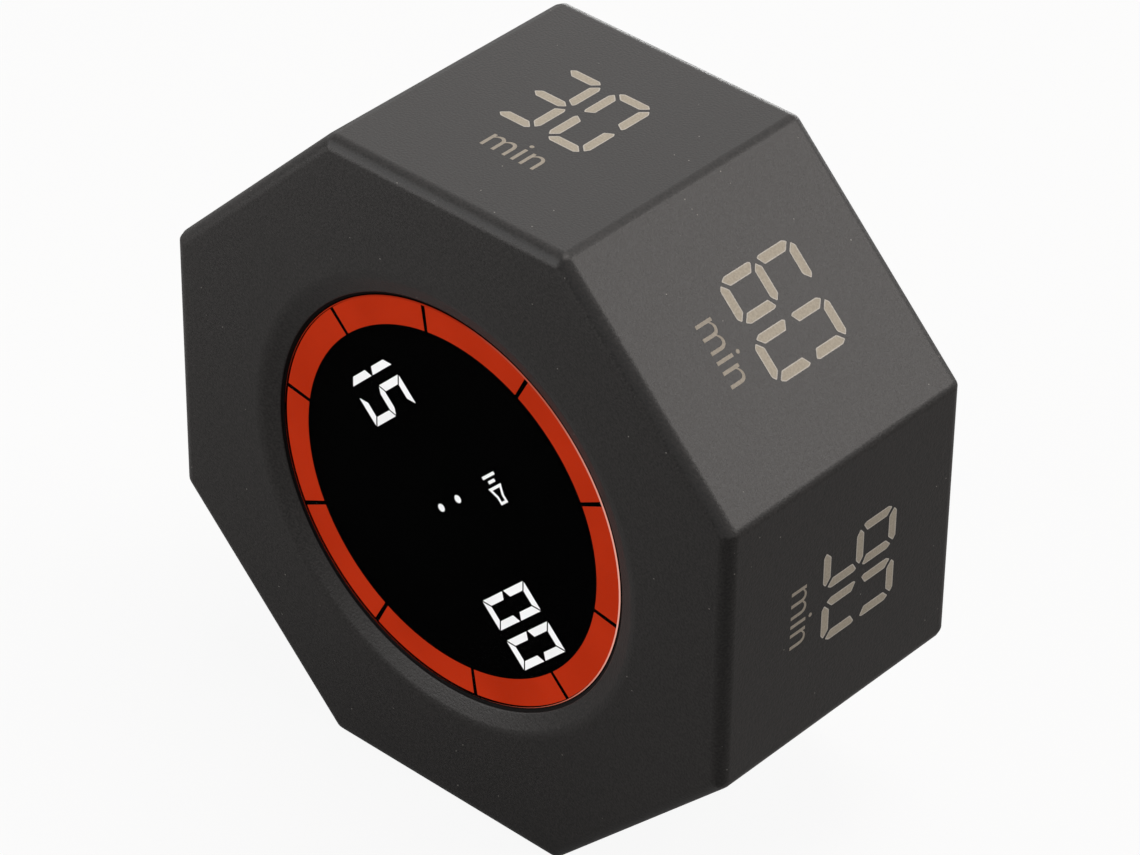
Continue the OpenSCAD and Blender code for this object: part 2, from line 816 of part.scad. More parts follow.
module board_passives() {
  row_y = charge_chip_at[1] - chip_w / 2 - passive_w - passive_l;
  row_x = charge_chip_at[0] - (passive_count - 1) / 2 * passive_pitch - passive_w / 2;
  color("#b8a888") stood() for (i = [0:passive_count - 1])
    translate([row_x + i * passive_pitch, row_y, main_board_z]) cube([passive_w, passive_l, passive_w]);
}

module buzzer() {
  color("#151516") stood() translate([0, sound_y, main_back_z - buzzer_h]) difference() {
    cylinder(d = buzzer_d, h = buzzer_h);
    translate([0, 0, -cut]) cylinder(d = buzzer_hole_d, h = buzzer_h / 2 + cut);
  }
}

module usb_shell() {
  color("#b9bcc0") stood() translate([0, -port_y, port_z])
    linear_extrude(main_back_z - port_z) difference() {
      stadium(port_w, port_h);
      stadium(port_w - 2 * port_wall, port_h - 2 * port_wall);
    }
}

module usb_tongue() {
  color("#202022") stood() translate([0, -port_y, 0]) {
    translate([0, 0, main_back_z - port_base]) linear_extrude(port_base)
      stadium(port_w - 2 * port_wall, port_h - 2 * port_wall);
    translate([0, 0, port_z + tongue_sink]) linear_extrude(main_back_z - port_z - tongue_sink)
      square([tongue_w, tongue_t], center = true);
  }
}

module slide_switch_case() {
  color("#a5a8ab") stood() translate([-control_x, 0, switch_z]) difference() {
    linear_extrude(switch_h) square([slide_case_w, slide_case_l], center = true);
    translate([0, 0, -cut]) linear_extrude(lever_root + lever_gap + cut)
      square([lever_w + 2 * lever_gap, lever_w + slider_travel + 2 * lever_gap], center = true);
  }
}

module slide_switch_lever() {
  tip = cover_in_z - lever_reach;
  color("#1c1c1d") stood() translate([-control_x, 0, tip])
    linear_extrude(switch_z + lever_root - tip) square(lever_w, center = true);
}

module mode_slider() {
  cap_h = cover_out_z + pocket_depth - knob_play - control_z;
  lip_z = cover_in_z + knob_play;
  lip_span = stem_w + 2 * knob_gap + 2 * lip_w;
  color("#3b3b3d") stood() translate([-control_x, 0, 0]) difference() {
    union() {
      translate([0, 0, control_z]) linear_extrude(cap_h) square([knob_w, knob_l], center = true);
      translate([0, 0, control_z]) linear_extrude(lip_z + lip_t - control_z)
        square([stem_w, stem_l], center = true);
      translate([0, 0, lip_z]) linear_extrude(lip_t) square([lip_span, stem_l], center = true);
    }
    translate([0, 0, cover_in_z - lever_reach]) linear_extrude(lever_reach + knob_play + lip_t + cut)
      square(lever_w, center = true);
    for (i = [0:grip_count - 1]) translate([0, (i - (grip_count - 1) / 2) * grip_pitch, control_z - cut])
      linear_extrude(grip_depth + cut) square([knob_w + cut, grip_w], center = true);
  }
}

module press_switch_case() {
  color("#1b1b1c") stood() translate([control_x, 0, switch_z]) difference() {
    linear_extrude(switch_h) square(press_case_w, center = true);
    translate([0, 0, -cut])
      cylinder(r = plunger_d / 2 + plunger_gap, h = plunger_root + button_travel + plunger_gap + cut);
  }
}

module press_switch_plunger() {
  color("#c0b89a") stood() translate([control_x, 0, switch_z - plunger_proud])
    cylinder(d = plunger_d, h = plunger_proud + plunger_root);
}

module power_button() {
  r = button_d / 2;
  color("#3b3b3d") stood() translate([control_x, 0, 0]) rotate_extrude() polygon([
    [0, control_z + dish_depth], [dish_d / 2, control_z + dish_depth], [dish_d / 2, control_z],
    [r - button_chamfer, control_z], [r, control_z + button_chamfer], [r, cover_in_z],
    [r + button_lip_w, cover_in_z], [r + button_lip_w, cover_in_z + button_lip_t],
    [button_stem_d / 2, cover_in_z + button_lip_t], [button_stem_d / 2, switch_z - plunger_proud],
    [0, switch_z - plunger_proud]
  ]);
}

module battery_cell() {
  body_h = battery_h - terrace_l;
  color("#b4b7bb") stood() translate([0, 0, battery_z - battery_t]) {
    translate([0, -terrace_l / 2, 0])
      linear_extrude(battery_t) rounded_rect(battery_w, body_h, battery_round);
    translate([battery_round - battery_w / 2, battery_h / 2 - 2 * terrace_l, battery_t / 2 - terrace_t / 2])
      cube([battery_w - 2 * battery_round, 2 * terrace_l, terrace_t]);
  }
}

module battery_tape() {
  tape_w = battery_w - 2 * tape_border;
  tape_h = battery_h - 2 * tape_border;
  color("#d8d4c4") stood() translate([-tape_w / 2, -tape_h / 2, battery_z])
    cube([tape_w, tape_h, tape_t]);
}

module battery_leads() {
  bend_y = battery_h / 2 + lead_run;
  color("#a32a22") stood() for (side = [-1, 1]) translate([side * lead_pitch / 2, 0, 0]) {
    translate([0, battery_h / 2, lead_z]) rotate([-90, 0, 0]) cylinder(d = lead_d, h = lead_run, $fn = 32);
    translate([0, bend_y, lead_z - lead_bend]) rotate([90, 0, 90])
      rotate_extrude(angle = 90) translate([lead_bend, 0]) circle(d = lead_d, $fn = 32);
    translate([0, socket_y, plug_z]) cylinder(d = lead_d, h = lead_z - lead_bend - plug_z, $fn = 32);
  }
}

module battery_plug() {
  color("#e6e2d6") stood() translate([0, socket_y, main_board_z + socket_wall]) linear_extrude(plug_h)
    square([socket_inner[0] - 2 * plug_gap, socket_inner[1] - 2 * plug_gap], center = true);
}

module battery_socket() {
  color("#e6e2d6") stood() translate([0, socket_y, main_board_z]) difference() {
    linear_extrude(socket_h) square([socket_w, socket_d], center = true);
    translate([0, 0, socket_wall]) linear_extrude(socket_h) square(socket_inner, center = true);
  }
}

front_housing();
rear_cover();
cover_screws();
display_lens();
dust_gasket();
reflector_block();
ring_segments();
digit_segments();
blank_segments();
colon_dots();
icon_strokes();
segment_leds();
display_board();
display_screws();
link_header();
link_pins();
main_board();
board_screws();
controller_chip();
motion_sensor();
charge_chip();
board_passives();
buzzer();
usb_shell();
usb_tongue();
slide_switch_case();
slide_switch_lever();
mode_slider();
press_switch_case();
press_switch_plunger();
power_button();
battery_cell();
battery_tape();
battery_leads();
battery_plug();
battery_socket();
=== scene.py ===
# %% [markdown]
# # An eight-sided flip timer
# The timer is an octagonal prism. It stands on any of its eight flat sides, and the side that is up says how
# many minutes it counts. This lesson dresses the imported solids: it models the moulded housing, the lens and
# the printed marks, gives every piece its finish, and sets up the studio.

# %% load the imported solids
import json
import math

import bmesh
import bpy
from mathutils import Matrix, Vector


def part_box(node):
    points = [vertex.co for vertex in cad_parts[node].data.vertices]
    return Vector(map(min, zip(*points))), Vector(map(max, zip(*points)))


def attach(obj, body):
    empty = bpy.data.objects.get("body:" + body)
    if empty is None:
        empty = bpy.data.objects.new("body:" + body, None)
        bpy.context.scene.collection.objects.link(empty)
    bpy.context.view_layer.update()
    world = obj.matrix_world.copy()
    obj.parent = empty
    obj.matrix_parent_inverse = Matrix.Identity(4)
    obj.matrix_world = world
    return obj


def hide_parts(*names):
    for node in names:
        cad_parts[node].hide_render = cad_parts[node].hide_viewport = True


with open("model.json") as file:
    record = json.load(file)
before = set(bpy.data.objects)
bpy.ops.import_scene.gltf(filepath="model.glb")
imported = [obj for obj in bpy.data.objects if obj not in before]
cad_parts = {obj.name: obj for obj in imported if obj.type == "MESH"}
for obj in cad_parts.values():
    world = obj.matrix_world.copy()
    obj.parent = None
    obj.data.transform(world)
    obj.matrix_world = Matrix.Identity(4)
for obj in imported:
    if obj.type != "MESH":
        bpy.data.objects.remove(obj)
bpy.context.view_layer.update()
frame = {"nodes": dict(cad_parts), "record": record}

MM = 0.001
nodes = frame["nodes"]
low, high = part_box("front_housing")
ACROSS = high[0] - low[0]
FRONT, BACK = low[1], high[1]
MIDDLE = Vector((0, 0, ACROSS / 2))
print(len(nodes), "solids,", round(ACROSS / MM, 2), "mm across,", round((BACK - FRONT) / MM, 2), "mm deep")

# %% [markdown]
# ## Camera
# The photograph was taken with a long lens from the upper right. The angles below come from the outline and the
# edges of the prism in the picture: their places on the prism are known, so they fix where the camera stood. A
# long lens far away keeps the edges almost parallel.

# %% camera at the photograph's angle
PHOTO_WIDTH, FOCAL_PIXELS = 1140, 5185.0
SENSOR_MM = 36
NEAREST_SEEN = 0.01
AZIMUTH, ELEVATION, ROLL = (math.radians(angle) for angle in (41.74, 36.24, 0.77))
CAMERA_OFFSET = (0.885 * MM, 0.434 * MM, 466.2 * MM)

back = Vector((
    math.sin(AZIMUTH) * math.cos(ELEVATION), -math.cos(AZIMUTH) * math.cos(ELEVATION), math.sin(ELEVATION)))
level = Vector((math.cos(AZIMUTH), math.sin(AZIMUTH), 0))
upright = back.cross(level)
right = math.cos(ROLL) * level + math.sin(ROLL) * upright
up = math.cos(ROLL) * upright - math.sin(ROLL) * level
axes = Matrix((right, up, back)).transposed()
camera = bpy.data.objects.new("camera", bpy.data.cameras.new("camera"))
bpy.context.scene.collection.objects.link(camera)
camera.data.sensor_width = SENSOR_MM
camera.data.lens = SENSOR_MM * FOCAL_PIXELS / PHOTO_WIDTH
camera.data.clip_start = NEAREST_SEEN
camera.matrix_world = Matrix.Translation(MIDDLE + axes @ Vector(CAMERA_OFFSET)) @ axes.to_4x4()
bpy.context.scene.camera = camera
print("camera lens", round(camera.data.lens, 1), "mm at", [round(x, 4) for x in camera.matrix_world.translation])

# %% [markdown]
# ## Helpers
# Every new piece ends the same way: its bmesh becomes an object at the origin, it rides on a body, and it
# takes its finish from one of the record's slots. A plane that faces the viewer is used again and again, so
# it has a helper too.

# %% helpers for new pieces
pieces = {}


def facing_front(y):
    """Places what is drawn flat in XY on an upright plane that faces the viewer."""
    return Matrix.Translation(MIDDLE + Vector((0, y, 0))) @ Matrix.Rotation(math.pi / 2, 4, "X")


def only_verts(geom):
    return [part for part in geom if isinstance(part, bmesh.types.BMVert)]


def new_object(bm, name):
    mesh = bpy.data.meshes.new(name)
    bm.to_mesh(mesh)
    bm.free()
    made = bpy.data.objects.new(name, mesh)
    bpy.context.scene.collection.objects.link(made)
    return made


def make_piece(bm, name, body, finish, replaced=(), smooth=True):
    for face in bm.faces:
        face.smooth = smooth
    piece = new_object(bm, name)
    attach(piece, body)
    if replaced:
        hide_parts(*replaced)
    pieces[name] = (piece, finish)
    print(name, len(piece.data.vertices), "vertices", len(piece.data.polygons), "faces")
    return piece


def flat_shading_kept(piece):
    """Large flat faces decide the normals at their edges, so that only the roundings shade softly."""
    piece.modifiers.new("flat faces stay flat", "WEIGHTED_NORMAL").keep_sharp = True


# %% [markdown]
# ## Housing
# The housing is one moulding: a cup with eight sides, a front wall and a round window. It could be cut from
# the solid's own triangles, but those are coarse along the rounded edges. Here an eight-sided cone with two
# equal ends gives the prism, an inset and an extrusion hollow it, and two bridges join its front and inner
# outlines to a round window. The roundings come last, from one Bevel modifier with a weight per edge: a front
# edge turns by 90 degrees and an upright one by 45, so for one radius the upright edges need only
# tan(22.5 degrees) of the width.

# %% housing: prism and cavity
SIDES = 8
HALF_TURN = math.pi / SIDES
EDGE_ROUND = 1.3 * MM
WALL, FRONT_WALL = 2.2 * MM, 2.2 * MM
CORNER_R = ACROSS / 2 / math.cos(HALF_TURN)

bm = bmesh.new()
weight = bm.edges.layers.float.new("bevel_weight_edge")
bmesh.ops.create_cone(
    bm, cap_ends=True, segments=SIDES, radius1=CORNER_R, radius2=CORNER_R, depth=BACK - FRONT,
    matrix=facing_front(0) @ Matrix.Rotation(HALF_TURN, 4, "Z"))
for edge in bm.edges:
    along = edge.verts[0].co - edge.verts[1].co
    edge[weight] = math.tan(HALF_TURN) if abs(along.y) > MM else 1
bm.normal_update()
back_face = max(bm.faces, key=lambda face: face.normal.y)
bmesh.ops.inset_region(bm, faces=[back_face], thickness=WALL, use_even_offset=True)
for edge in back_face.edges:
    edge[weight] = 0
cavity = bmesh.ops.extrude_face_region(bm, geom=[back_face])["geom"]
bmesh.ops.delete(bm, geom=[back_face], context="FACES_ONLY")
bmesh.ops.translate(bm, vec=(0, FRONT + FRONT_WALL - BACK, 0), verts=only_verts(cavity))
print("housing so far", len(bm.faces), "faces")

# %% [markdown]
# The window is a bore with a wide shallow bevel in front. The bevel ends in a small step, and behind the step
# a narrow ledge surrounds the lens. The step and the ledge are black, a painted shade for the shade that lies in
# the recess around the lens. The front's octagon and the cavity's get as many points as the circle has, so that
# each bridge is a ring of plain quads. Two outlines in one plane can be bridged the wrong way round, so one of
# them is kept at arm's length while it is bridged and is moved home afterwards.

# %% housing: outlines for the bridges
WINDOW_POINTS = 128
SAME_PLACE = 0.001 * MM


def open_edges(y):
    return [e for e in bm.edges if e.is_boundary and all(abs(v.co.y - y) < SAME_PLACE for v in e.verts)]


def open_octagon(face):
    """Takes the face away and gives its outline as many points as the window has."""
    y = face.calc_center_median().y
    edges = list(face.edges)
    bmesh.ops.delete(bm, geom=[face], context="FACES_ONLY")
    bmesh.ops.subdivide_edges(bm, edges=edges, cuts=WINDOW_POINTS // SIDES - 1)
    return open_edges(y)


def continue_bore(edges, y, radius):
    """Draws the bore on from its open end to another depth and radius."""
    verts = only_verts(bmesh.ops.extrude_edge_only(bm, edges=edges)["geom"])
    factor = radius / (verts[0].co - MIDDLE - Vector((0, verts[0].co.y, 0))).length
    bmesh.ops.translate(bm, vec=(0, y - verts[0].co.y, 0), verts=verts)
    bmesh.ops.scale(bm, vec=(factor, 1, factor), space=Matrix.Translation(-MIDDLE), verts=verts)
    return open_edges(y)


print("outlines of", WINDOW_POINTS, "points")

# %% housing: window
RIM_R, FOOT_R = 22.6 * MM, 20.65 * MM
LENS_GAP = 0.1 * MM
BORE_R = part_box("display_lens")[1][0] + LENS_GAP
BEVEL_DEPTH, LEDGE_DEPTH = 0.8 * MM, 1.05 * MM
ARM = 20 * MM

front_face = min(bm.faces, key=lambda face: face.calc_center_median().y)
bmesh.ops.inset_region(bm, faces=[front_face], thickness=2 * EDGE_ROUND, use_even_offset=True)
for edge in front_face.edges:
    edge[weight] = 0
outline = open_octagon(front_face)
rim_verts = bmesh.ops.create_circle(
    bm, cap_ends=False, radius=RIM_R, segments=WINDOW_POINTS, matrix=facing_front(FRONT - ARM))["verts"]
rim = list({edge for vert in rim_verts for edge in vert.link_edges})
bmesh.ops.bridge_loops(bm, edges=outline + rim)
bmesh.ops.translate(bm, vec=(0, ARM, 0), verts=rim_verts)
foot = continue_bore(rim, FRONT + BEVEL_DEPTH, FOOT_R)
step = continue_bore(foot, FRONT + LEDGE_DEPTH, FOOT_R)
bore_front = continue_bore(step, FRONT + LEDGE_DEPTH, BORE_R)
cavity_floor = next(
    face for face in bm.faces
    if len(face.verts) == SIDES and abs(face.calc_center_median().y - FRONT - FRONT_WALL) < MM)
outline = open_octagon(cavity_floor)
bore_back = continue_bore(bore_front, FRONT + FRONT_WALL + ARM, BORE_R)
bmesh.ops.bridge_loops(bm, edges=outline + bore_back)
bmesh.ops.translate(bm, vec=(0, -ARM, 0), verts=list({vert for edge in bore_back for vert in edge.verts}))
bmesh.ops.recalc_face_normals(bm, faces=bm.faces)
bm.normal_update()
print("edges left open:", sum(edge.is_boundary for edge in bm.edges))

# %% housing: moulded edges
RIM_SHARE, FOOT_SHARE = 0.4, 0.12

for edge in rim:
    edge[weight] = RIM_SHARE
for edge in foot:
    edge[weight] = FOOT_SHARE
# The step and the ledge take the second slot: black, a painted shade for the recess around the lens.
for edge in step:
    for face in edge.link_faces:
        face.material_index = 1
housing = make_piece(bm, "housing_shell", "case", "body_plastic", ["front_housing"])
rounding = housing.modifiers.new("moulded edges", "BEVEL")
rounding.width = EDGE_ROUND
rounding.segments = 6
rounding.limit_method = "WEIGHT"
rounding.profile = 0.5
rounding.use_clamp_overlap = False
flat_shading_kept(housing)

# %% [markdown]
# ## Lens
# A clear disc closes the window. It lies a little behind the bevel's foot and in front of the ledge, and its
# front edge is ground to a small chamfer. The chamfer glows with painted light for the ring's light that leaks
# out there, and turns pale on one side, a painted highlight: that is the thin pale line on the right of the
# display. The faces take three material slots: the polished ones the first, the chamfer the second, and the
# blackened outer wall the third. A little air behind the disc keeps its back apart from the block's front: rays
# that leave a face can miss another one in the same place.

# %% lens
LENS_POINTS = 128
LENS_SUNK, LENS_AIR = 0.9 * MM, 0.05 * MM
LENS_CHAMFER = 0.1 * MM
POLISHED, SLANTED = 0.95, 0.1
low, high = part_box("display_lens")
LENS_R, LENS_FRONT, LENS_BACK = high[0], FRONT + LENS_SUNK, high[1] - LENS_AIR

bm = bmesh.new()
bmesh.ops.create_cone(
    bm, cap_ends=True, segments=LENS_POINTS, radius1=LENS_R, radius2=LENS_R, depth=LENS_BACK - LENS_FRONT,
    matrix=facing_front((LENS_FRONT + LENS_BACK) / 2))
bm.normal_update()
lens_face = min(bm.faces, key=lambda face: face.normal.y)
bmesh.ops.bevel(
    bm, geom=list(lens_face.edges), offset=LENS_CHAMFER, segments=1, profile=0.5, affect="EDGES", material=-1)
bm.normal_update()
# The chamfer takes the second slot, whose glow and pale side are painted light.
for face in bm.faces:
    along_axis = abs(face.normal.y)
    face.material_index = 0 if along_axis > POLISHED else 1 if along_axis > SLANTED else 2
lens = make_piece(bm, "lens_disc", "case", "lens_clear", ["display_lens"])
flat_shading_kept(lens)

# %% [markdown]
# ## Marks on the sides
# Each side carries its minutes in seven-stroke figures with the word min below, printed in pale ink. The top is
# 30, and the next sides clockwise are 60 and 90. A figure is made of three kinds of stroke: a bar with cut corners
# at its top and bottom, a post at its sides and a pointed bar across its middle. One of each is drawn with six
# points, and mirrored copies of them make every figure; a font would give other ends to the strokes. They are
# given a little thickness, so they sit in the wall and end just above it.

# %% marks: one figure
# The rim is the width of the painted highlight along each stroke's edge.
TIP_ROUND, HIGHLIGHT_RIM = 0.1 * MM, 0.1 * MM
LIT = {"0": "abcdef", "1": "bc", "2": "abdeg", "3": "abcdg", "5": "acdfg", "6": "acdefg", "9": "abcdfg"}

bar = [(-1.38, 4.9), (1.38, 4.9), (1.79, 4.56), (1.12, 3.92), (-1.12, 3.92), (-1.79, 4.56)]
post = [(-2.02, 4.26), (-2.32, 3.78), (-2.32, 0.72), (-2.14, 0.4), (-1.33, 0.9), (-1.33, 3.6)]
cross = [(-1.87, 0), (-1.3, 0.48), (1.3, 0.48), (1.87, 0), (1.3, -0.48), (-1.3, -0.48)]
as_drawn = Matrix.Identity(4)
left_to_right = Matrix.Diagonal((-1, 1, 1, 1))
upside_down = Matrix.Diagonal((1, -1, 1, 1))
STROKES = {"a": (bar, as_drawn), "d": (bar, upside_down), "g": (cross, as_drawn), "f": (post, as_drawn),
           "b": (post, left_to_right), "e": (post, upside_down), "c": (post, left_to_right @ upside_down)}


def draw_figure(bm, figure, place):
    for name in LIT[figure]:
        points, turned = STROKES[name]
        verts = [bm.verts.new(place @ turned @ Vector((x * MM, y * MM, 0))) for x, y in points]
        bm.faces.new(verts)
        bmesh.ops.bevel(bm, geom=verts, offset=TIP_ROUND, segments=2, profile=0.5, affect="VERTICES", material=-1)


print("strokes of an 8:", len(STROKES))

# %% [markdown]
# The word comes from Blender's own plain font. It is turned into a mesh while it lies flat, and then goes
# into the same bmesh as the figures. A side's plane has the reading direction as its X, the way to the back
# as its Y and the outward normal as its Z.

# %% marks: the word and the planes of the sides
WORD_SIZE, WORD_BASE, WORD_THINNED = 4.55 * MM, -6.97 * MM, 0.03 * MM
MARK_DEPTH, MARK_PROUD = 0.03 * MM, 0.012 * MM


def side_plane(turn):
    outward = Vector((math.cos(turn), 0, math.sin(turn)))
    reading = Vector((math.sin(turn), 0, -math.cos(turn)))
    turned = Matrix((reading, Vector((0, 1, 0)), outward)).transposed().to_4x4()
    return Matrix.Translation(MIDDLE + outward * ACROSS / 2) @ turned


def word_mesh(word):
    curve = bpy.data.curves.new(word, "FONT")
    curve.body = word
    curve.align_x = "CENTER"
    curve.size = WORD_SIZE
    curve.offset = -WORD_THINNED
    curve.resolution_u = 6
    holder = bpy.data.objects.new(word, curve)
    bpy.context.scene.collection.objects.link(holder)
    bpy.context.view_layer.update()
    mesh = bpy.data.meshes.new_from_object(holder.evaluated_get(bpy.context.evaluated_depsgraph_get()))
    bpy.data.objects.remove(holder)
    bpy.data.curves.remove(curve)
    mesh.transform(Matrix.Translation((0, WORD_BASE, 0)))
    return mesh


def thicken(bm, outward):
    """Gives flat marks a body that reaches into the wall."""
    bmesh.ops.recalc_face_normals(bm, faces=bm.faces)
    for face in bm.faces:
        if face.normal.dot(outward) < 0:
            face.normal_flip()
    bmesh.ops.translate(bm, vec=outward * MARK_PROUD, verts=bm.verts)
    sunk = bmesh.ops.extrude_face_region(bm, geom=bm.faces[:], use_keep_orig=True)["geom"]
    bmesh.ops.translate(bm, vec=-outward * MARK_DEPTH, verts=only_verts(sunk))
    bmesh.ops.recalc_face_normals(bm, faces=bm.faces)


min_mesh = word_mesh("min")
print("word of", len(min_mesh.polygons), "faces")

# %% [markdown]
# The print sits a little differently on each side, as the photograph shows, so three sides have offsets of
# their own in millimetres. The strokes have a paler rim, a painted highlight where the ink's edge would catch
# the light: an inset makes it, and rim, stroke and word take a material slot each.

# %% marks: all eight sides
FIGURE_PITCH, FIGURE_MIDDLE = 5.71 * MM, 2.22 * MM
MINUTES = ["90", "60", "30", "25", "20", "15", "10", "5"]
FIGURES_OFF = {"30": (-0.69, -0.05), "60": (0, 0.05), "90": (-0.27, -0.05)}
WORD_OFF = {"30": (-0.15, -0.27), "60": (0.16, -0.03)}

marks = []
for i, minutes in enumerate(MINUTES):
    plane = side_plane(i * 2 * HALF_TURN)
    bm = bmesh.new()
    across, along = FIGURES_OFF.get(minutes, (0, 0))
    for k, figure in enumerate(minutes):
        x = (k - (len(minutes) - 1) / 2) * FIGURE_PITCH + across * MM
        draw_figure(bm, figure, Matrix.Translation((x, FIGURE_MIDDLE + along * MM, 0)))
    bm.normal_update()
    # the paler rim of each stroke is a painted highlight
    highlight_rims = bmesh.ops.inset_individual(bm, faces=bm.faces[:], thickness=HIGHLIGHT_RIM, use_even_offset=True)["faces"]
    for face in highlight_rims:
        face.material_index = 1
    figures = set(bm.faces)
    bm.from_mesh(min_mesh)
    word = set(bm.faces) - figures
    for face in word:
        face.material_index = 2
    across, along = WORD_OFF.get(minutes, (0, 0))
    word_verts = list({vert for face in word for vert in face.verts})
    bmesh.ops.translate(bm, vec=(across * MM, along * MM, 0), verts=word_verts)
    bmesh.ops.remove_doubles(bm, verts=bm.verts, dist=SAME_PLACE)
    bmesh.ops.transform(bm, matrix=plane, verts=bm.verts)
    thicken(bm, plane.col[2].to_3d())
    marks.append(make_piece(bm, "mark_" + minutes + "_min", "case", "mark_beige", smooth=False))

# %% [markdown]
# ## Sound sign
# Above the colon glows a small horn with a dash and a bar in front of it. In the solid the horn's outline is open
# at its corners, because the middle has to hang on to the block; a lit film in front of it closes the outline. An
# inset of one six-sided face gives an outline of even width, and the middle is taken away.

# %% sound sign
DISPLAY_TURN = -math.pi / 4
SIGN_X, SIGN_UP = 0.8 * MM, 7.1 * MM
SIGN_STROKE = 0.27 * MM
HORN = [(-0.28, -1.0), (0.76, -0.54), (1.5, -0.54), (1.5, 0.54), (0.76, 0.54), (-0.28, 1.0)]
BARS = [(-0.77, 0.99), (-1.35, 1.88)]


def add_bar(bm, place, width, length):
    """A flat bar in XY with its middle at a place."""
    bmesh.ops.create_grid(
        bm, x_segments=1, y_segments=1, size=0.5,
        matrix=Matrix.Translation(place) @ Matrix.Diagonal((width, length, 1, 1)))


bm = bmesh.new()
horn = bm.faces.new([bm.verts.new((x * MM, y * MM, 0)) for x, y in HORN])
bm.normal_update()
bmesh.ops.inset_region(bm, faces=[horn], thickness=SIGN_STROKE, use_even_offset=True, use_boundary=True)
bmesh.ops.delete(bm, geom=[horn], context="FACES_ONLY")
for x, length in BARS:
    add_bar(bm, (x * MM, 0, 0), SIGN_STROKE * 1.1, length * MM)
block_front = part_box("reflector_block")[0][1]
sign_place = Matrix.Rotation(DISPLAY_TURN, 4, "Z") @ Matrix.Translation((SIGN_X, SIGN_UP, 0))
bmesh.ops.transform(bm, matrix=facing_front(block_front) @ sign_place, verts=bm.verts)
thicken(bm, Vector((0, -1, 0)))
make_piece(bm, "sound_sign", "case", "light_white", ["icon_strokes"], smooth=False)

# %% [markdown]
# ## Signs on the back
# Three dots beside the knob, from small to large, stand for silent, soft and loud, and the usual broken ring with
# a stroke stands above the push button. The dots are filled circles. The ring is a short edge that is spun
# through most of a turn, which is quicker than cutting a gap into a whole ring. All get the same little
# thickness as the marks on the sides.

# %% signs on the back: dots beside the knob
COVER_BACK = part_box("rear_cover")[1][1]
DOTS = [(-2.6, 0.3), (0, 0.5), (2.6, 0.7)]
DOTS_ASIDE = 4.4 * MM


def facing_back(x, z):
    """Places what is drawn flat in XY on the cover's outer face, upright for someone who looks from behind."""
    turned = Matrix(((-1, 0, 0), (0, 0, 1), (0, 1, 0))).transposed().to_4x4()
    return Matrix.Translation((x, COVER_BACK, z)) @ turned


def middle_of(node):
    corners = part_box(node)
    return [(corners[0][i] + corners[1][i]) / 2 for i in range(3)]


knob_x, _, knob_z = middle_of("mode_slider")
bm = bmesh.new()
for rise, radius in DOTS:
    bmesh.ops.create_circle(
        bm, cap_ends=True, segments=24, radius=radius * MM, matrix=facing_back(knob_x - DOTS_ASIDE, knob_z + rise * MM))
thicken(bm, Vector((0, 1, 0)))
make_piece(bm, "sound_dots", "case", "mark_beige", smooth=False)

# %% signs on the back: broken ring above the button
RING_GAP = math.radians(80)
RING_RADII = (1.3, 1.65)
RING_STROKE, RING_STROKE_LENGTH, RING_STROKE_UP = 0.35 * MM, 1.5 * MM, 1.05 * MM
RING_RISE = 7.2 * MM

button_x, _, button_z = middle_of("power_button")
bm = bmesh.new()
start = Matrix.Rotation(RING_GAP / 2, 4, "Z")
ends = [bm.verts.new(start @ Vector((0, radius * MM, 0))) for radius in RING_RADII]
across_stroke = bm.edges.new(ends)
bmesh.ops.spin(
    bm, geom=ends + [across_stroke], axis=(0, 0, 1), cent=(0, 0, 0), angle=2 * math.pi - RING_GAP, steps=48)
add_bar(bm, (0, RING_STROKE_UP, 0), RING_STROKE, RING_STROKE_LENGTH)
bmesh.ops.transform(bm, matrix=facing_back(button_x, button_z + RING_RISE), verts=bm.verts)
thicken(bm, Vector((0, 1, 0)))
make_piece(bm, "power_sign", "case", "mark_beige", smooth=False)

# %% [markdown]
# ## Contacts of the charging port
# A reversible port has a row of gilt contacts on each side of its tongue. They are thin strips, so a flat grid
# for each and the same thickening as for the marks are enough.

# %% contacts of the charging port
TONGUE = 0.7 * MM
CONTACTS, CONTACT_PITCH = 12, 0.5 * MM
CONTACT_WIDTH, CONTACT_LENGTH, CONTACT_INSET = 0.28 * MM, 2.4 * MM, 0.2 * MM

port_x, _, port_z = middle_of("usb_tongue")
contact_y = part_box("usb_tongue")[1][1] - CONTACT_INSET - CONTACT_LENGTH / 2
for side, outward in (("upper", 1), ("lower", -1)):
    bm = bmesh.new()
    for k in range(CONTACTS):
        x = port_x + (k - (CONTACTS - 1) / 2) * CONTACT_PITCH
        add_bar(bm, (x, contact_y, port_z + outward * TONGUE / 2), CONTACT_WIDTH, CONTACT_LENGTH)
    thicken(bm, Vector((0, 0, outward)))
    make_piece(bm, "port_contacts_" + side, "case", "pin_gold", smooth=False)

# %% [markdown]
# ## Finishes
# Every finish is a small node tree on one Principled shader. It reads Object coordinates, which are metres
# here, so a texture scale of 5000 gives detail of about a fifth of a millimetre. What is the same all over a
# surface is set on the shader itself; what varies comes from noise, most of which lies between 0.3 and 0.7.

# %% finishes: nodes that every finish uses
NOISE_LOW, NOISE_HIGH = 0.3, 0.7
finishes = {}


def linear(r, g, b):
    """An sRGB colour from 0 to 255 as the linear colour that the shader takes."""
    shares = (r / 255, g / 255, b / 255)
    return tuple(c / 12.92 if c <= 0.04045 else ((c + 0.055) / 1.055) ** 2.4 for c in shares) + (1,)


def new_finish(name, **sockets):
    finish = bpy.data.materials.new(name)
    finish.use_nodes = True
    shader = finish.node_tree.nodes["Principled BSDF"]
    for socket, value in sockets.items():
        shader.inputs[socket.replace("_", " ").title().replace("Ior", "IOR")].default_value = value
    finishes[name] = finish
    return finish.node_tree, shader


